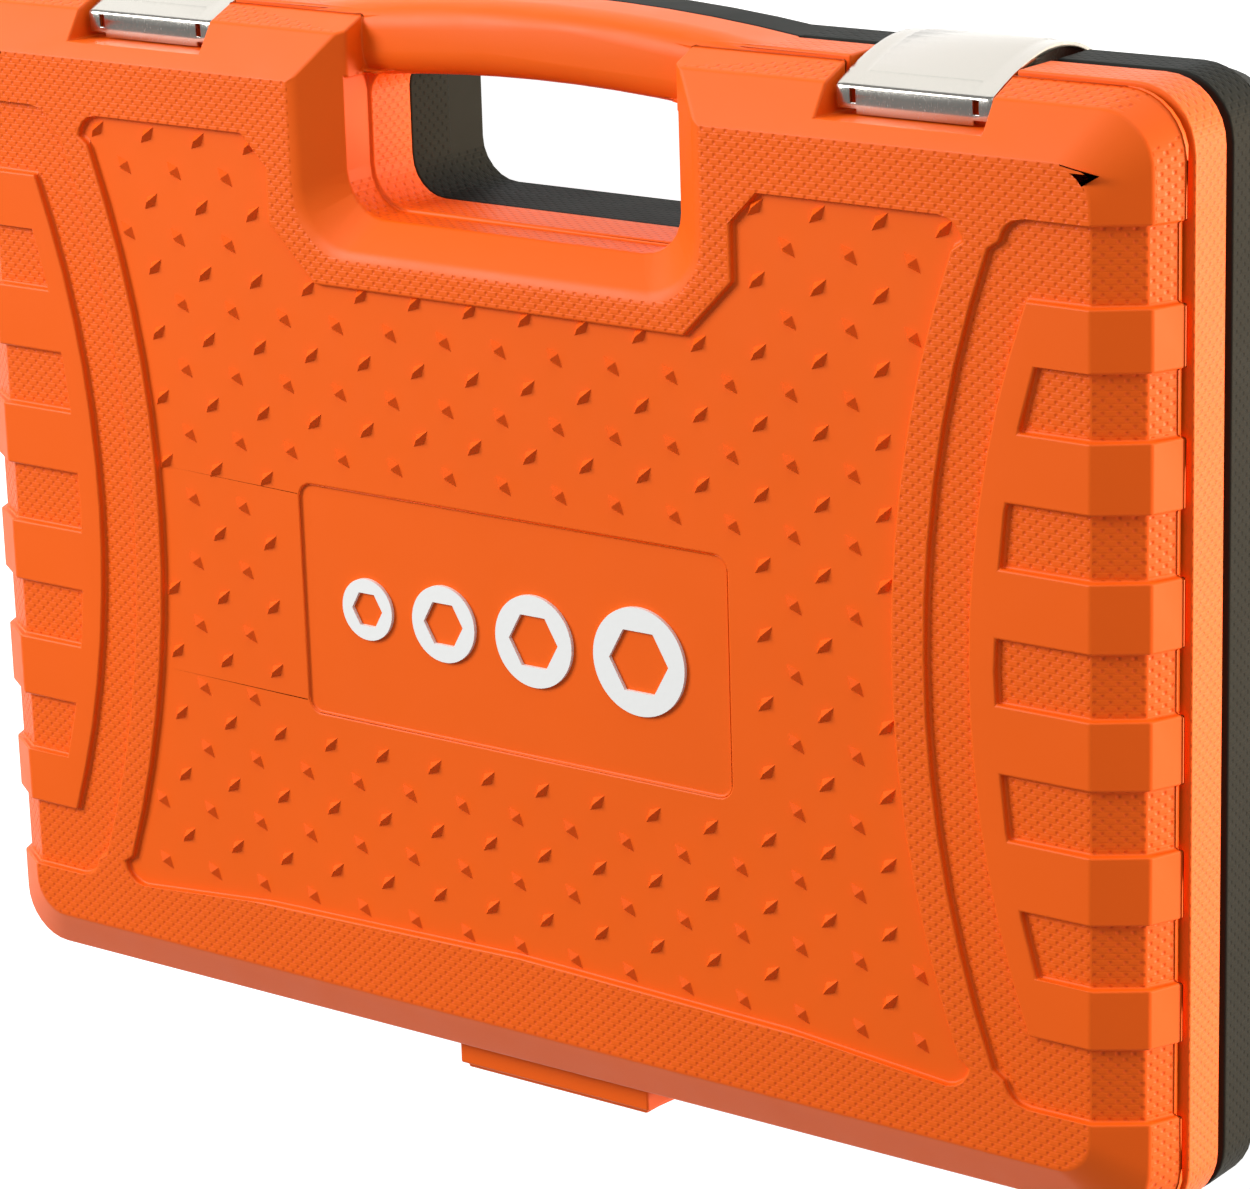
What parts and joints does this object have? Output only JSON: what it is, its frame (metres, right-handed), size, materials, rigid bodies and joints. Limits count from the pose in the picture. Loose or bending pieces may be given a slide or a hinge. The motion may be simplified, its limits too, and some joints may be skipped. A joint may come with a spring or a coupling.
{
  "type": "socket wrench set in case",
  "caption": "Half-inch drive socket set in a hinged moulded carrying case with a carry handle, two steel latches, ratchet, extension bars, universal joint and sliding T bar.",
  "frame": {"origin": "centre of the overall box at the case's back, which lies on the floor", "axes": "+X across the width, +Y to the hinge edge, -Y to the handle and the latches, +Z through the thickness to the lid's face"},
  "size_m": [0.387, 0.295, 0.075],
  "materials": {
    "orange_plastic": "satin moulded",
    "dark_plastic": "satin moulded",
    "white_ink": "printed",
    "plated_steel": "bright plated",
    "insert_rubber": "matt",
    "grip_rubber": "matt",
    "cap_plastic": "satin",
    "hardened_steel": "ground",
    "chrome_vanadium": "satin plated"
  },
  "bodies": {
    "base": {"base_shell": "dark_plastic", "hinge_pin": "plated_steel", "latch_pins": "plated_steel", "socket_10mm": "chrome_vanadium", "socket_11mm": "chrome_vanadium", "socket_12mm": "chrome_vanadium", "socket_13mm": "chrome_vanadium", "socket_14mm": "chrome_vanadium", "socket_15mm": "chrome_vanadium", "socket_16mm": "chrome_vanadium", "socket_17mm": "chrome_vanadium", "socket_18mm": "chrome_vanadium", "socket_19mm": "chrome_vanadium", "socket_20mm": "chrome_vanadium", "socket_21mm": "chrome_vanadium", "socket_22mm": "chrome_vanadium", "socket_23mm": "chrome_vanadium", "socket_24mm": "chrome_vanadium", "socket_27mm": "chrome_vanadium", "socket_30mm": "chrome_vanadium", "socket_32mm": "chrome_vanadium", "plug_socket_16mm": "chrome_vanadium", "plug_insert_16mm": "insert_rubber", "plug_socket_21mm": "chrome_vanadium", "plug_insert_21mm": "insert_rubber", "ratchet_body": "chrome_vanadium", "ratchet_grip": "grip_rubber", "ratchet_end_cap": "cap_plastic", "ratchet_cover": "chrome_vanadium", "ratchet_screws": "hardened_steel", "long_extension": "chrome_vanadium", "short_extension": "chrome_vanadium", "extension_balls": "hardened_steel", "joint_socket_yoke": "chrome_vanadium", "tbar_rod": "chrome_vanadium", "tbar_stops": "hardened_steel"},
    "lid": {"lid_shell": "orange_plastic", "lid_emblem": "white_ink"},
    "latch_left": {"latch_left": "plated_steel"},
    "latch_right": {"latch_right": "plated_steel"},
    "ratchet_drive": {"ratchet_gear": "chrome_vanadium", "ratchet_ball": "hardened_steel"},
    "selector": {"ratchet_selector": "hardened_steel", "ratchet_pawl": "hardened_steel"},
    "release_button": {"ratchet_button": "hardened_steel"},
    "tbar_slider": {"tbar_slider": "chrome_vanadium", "tbar_ball": "hardened_steel"},
    "joint_cross": {"joint_cross": "chrome_vanadium"},
    "joint_drive_yoke": {"joint_drive_yoke": "chrome_vanadium", "joint_ball": "hardened_steel"}
  },
  "joints": [
    {"name": "lid_hinge", "type": "hinge", "parent": "base", "child": "lid", "pos_m": [0, 0.143, 0.04], "axis": [-1, 0, 0], "range_deg": [0, 180]},
    {"name": "latch_left_hinge", "type": "hinge", "parent": "base", "child": "latch_left", "pos_m": [0.122, -0.133, 0.012], "axis": [1, 0, 0], "range_deg": [0, 85]},
    {"name": "latch_right_hinge", "type": "hinge", "parent": "base", "child": "latch_right", "pos_m": [-0.122, -0.133, 0.012], "axis": [1, 0, 0], "range_deg": [0, 85]},
    {"name": "ratchet_spin", "type": "hinge", "parent": "base", "child": "ratchet_drive", "pos_m": [-0.145, 0.1035, 0.022], "axis": [0, 0, 1], "continuous": true},
    {"name": "selector_turn", "type": "hinge", "parent": "base", "child": "selector", "pos_m": [-0.1225, 0.1035, 0.022], "axis": [0, 0, 1], "range_deg": [-9, 9]},
    {"name": "release_press", "type": "slide", "parent": "base", "child": "release_button", "axis": [0, 0, -1], "range_m": [0, 0.0025], "stiffness_N_per_m": 300},
    {"name": "tbar_slide", "type": "slide", "parent": "base", "child": "tbar_slider", "axis": [1, 0, 0], "range_m": [-0.099, 0.099]},
    {"name": "joint_swing", "type": "hinge", "parent": "base", "child": "joint_cross", "pos_m": [-0.123, -0.1, 0.0365], "axis": [0, 0, 1], "range_deg": [-12, 12]},
    {"name": "joint_lift", "type": "hinge", "parent": "joint_cross", "child": "joint_drive_yoke", "pos_m": [-0.123, -0.1, 0.0365], "axis": [0, 1, 0], "range_deg": [0, 22]}
  ]
}
